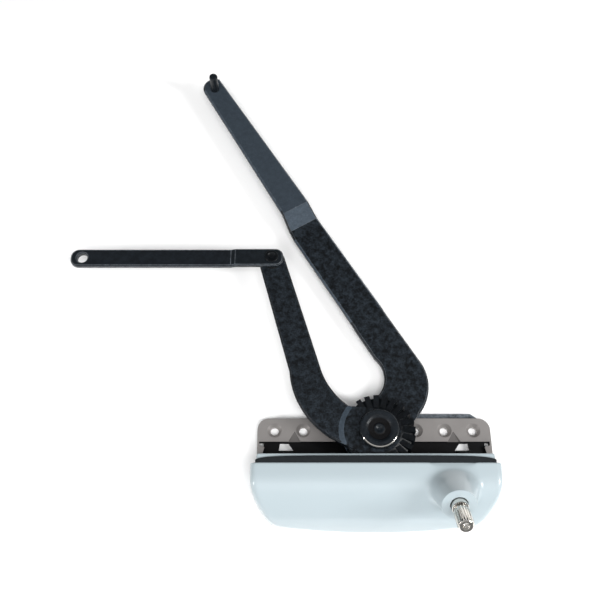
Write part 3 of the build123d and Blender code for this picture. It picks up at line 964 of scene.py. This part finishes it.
class WINDOW_OPERATOR_OT_studio(bpy.types.Operator):
    """Pale floor, soft lights and the camera"""

    bl_idname = "window_operator.studio"
    bl_label = "Studio"

    def execute(self, context):
        self.lay_floor(context)
        context.scene.view_settings.view_transform = "Standard"
        self.surround(context.scene)
        self.hang_lights(context)
        self.place_camera(context)
        return {"FINISHED"}

    def lay_floor(self, context):
        """Matt floor, just under the mounting face."""
        below = -0.3 * MM
        bpy.ops.object.select_all(action="DESELECT")
        bpy.ops.mesh.primitive_plane_add(size=6.0, location=(0, 0, 0))
        floor = context.view_layer.objects.active
        floor.name = "studio_floor"
        bpy.ops.object.mode_set(mode="EDIT")
        bpy.ops.mesh.select_all(action="SELECT")
        bpy.ops.mesh.subdivide(number_cuts=3)
        bpy.ops.transform.translate(value=(0, 0, below))
        bpy.ops.object.mode_set(mode="OBJECT")
        paint, _, surface, _ = begin("matt_studio_floor")
        surface.inputs["Base Color"].default_value = (*context.scene.operator_colours.floor, 1)
        surface.inputs["Roughness"].default_value = 0.9
        floor.data.materials.append(paint)

    def surround(self, scene):
        """Surround that is brightest overhead and fades towards the far side."""
        world = bpy.data.worlds.new("studio_surround")
        scene.world = world
        world.use_nodes = True
        tree = world.node_tree
        place = put(tree, "ShaderNodeTexCoord").outputs["Generated"]
        heading = put(tree, "ShaderNodeSeparateXYZ", {"Vector": place})
        overhead = ramp(tree, heading.outputs["Z"], (0.0, 0.7), (0.15, 1.0))
        near_side = ramp(tree, heading.outputs["Y"], (-0.3, 0.7), (1.0, 0.06))
        light = product(tree, overhead, near_side)
        background = tree.nodes["Background"]
        tree.links.new(
            shade(tree, light, (0.0, 0.0, 0.0), (1.0, 1.0, 1.0)), background.inputs["Color"]
        )
        background.inputs["Strength"].default_value = 0.62

    def hang_lights(self, context):
        """Softbox over the floor, which no gloss mirrors, and a strip at either side."""
        for name, place, aim, width, depth, watts, mirrored in (
            ("overhead_softbox", (-0.02, -0.60, 1.20), (-0.05, 0.08, 0), 0.9, 0.7, 17.0, False),
            ("right_strip", (0.80, -0.22, 0.62), (0.02, -0.02, 0.02), 0.12, 0.4, 6.8, True),
            ("left_strip", (-0.95, -0.35, 0.50), (0, 0.05, 0), 0.10, 0.5, 2.6, True),
        ):
            bpy.ops.object.light_add(type="AREA", location=place)
            light = context.view_layer.objects.active
            light.name = name
            light.data.shape = "RECTANGLE"
            light.data.size = width
            light.data.size_y = depth
            light.data.energy = watts
            light.visible_glossy = mirrored
            light.rotation_euler = (Vector(aim) - Vector(place)).to_track_quat("-Z", "Y").to_euler()

    def place_camera(self, context):
        """Camera in front of the nose, looking steeply down."""
        place = (-0.0476, -0.1349, 0.4933)
        tilt = math.radians(25)
        bpy.ops.object.camera_add(location=place, rotation=(tilt, 0, 0))
        camera = context.view_layer.objects.active
        camera.name = "studio_camera"
        camera.data.sensor_width = 36.0
        camera.data.lens = 46.5
        context.scene.camera = camera


# ---- add-on ------------------------------------------------------------------------------------
class WINDOW_OPERATOR_PT_panel(bpy.types.Panel):
    """Sizes, colours and the operators in their order"""

    bl_idname = "WINDOW_OPERATOR_PT_panel"
    bl_label = "Window operator"
    bl_space_type = "VIEW_3D"
    bl_region_type = "UI"
    bl_category = "Window operator"

    def draw(self, context):
        layout = self.layout
        for group in (context.scene.operator_sizes, context.scene.operator_colours):
            box = layout.box()
            for name in group.__annotations__:
                box.prop(group, name)
        for step in STEPS:
            layout.operator(step.bl_idname)


STEPS = (
    WINDOW_OPERATOR_OT_base_plate,
    WINDOW_OPERATOR_OT_arms,
    WINDOW_OPERATOR_OT_pivots,
    WINDOW_OPERATOR_OT_crank_stud,
    WINDOW_OPERATOR_OT_nose_cover,
    WINDOW_OPERATOR_OT_gasket,
    WINDOW_OPERATOR_OT_works,
    WINDOW_OPERATOR_OT_studio,
)
CLASSES = (OperatorSizes, OperatorColours, *STEPS, WINDOW_OPERATOR_PT_panel)


def register():
    """Adds the classes and the scene's two groups of properties."""
    for one in CLASSES:
        bpy.utils.register_class(one)
    bpy.types.Scene.operator_sizes = PointerProperty(type=OperatorSizes)
    bpy.types.Scene.operator_colours = PointerProperty(type=OperatorColours)


def unregister():
    """Takes the properties and the classes away again."""
    del bpy.types.Scene.operator_colours
    del bpy.types.Scene.operator_sizes
    for one in reversed(CLASSES):
        bpy.utils.unregister_class(one)


def main():
    """Builds everything in order."""
    register()
    bpy.ops.window_operator.base_plate()
    bpy.ops.window_operator.arms()
    bpy.ops.window_operator.pivots()
    bpy.ops.window_operator.crank_stud()
    bpy.ops.window_operator.nose_cover()
    bpy.ops.window_operator.gasket()
    bpy.ops.window_operator.works()
    bpy.ops.window_operator.studio()


if __name__ == "__main__":
    main()
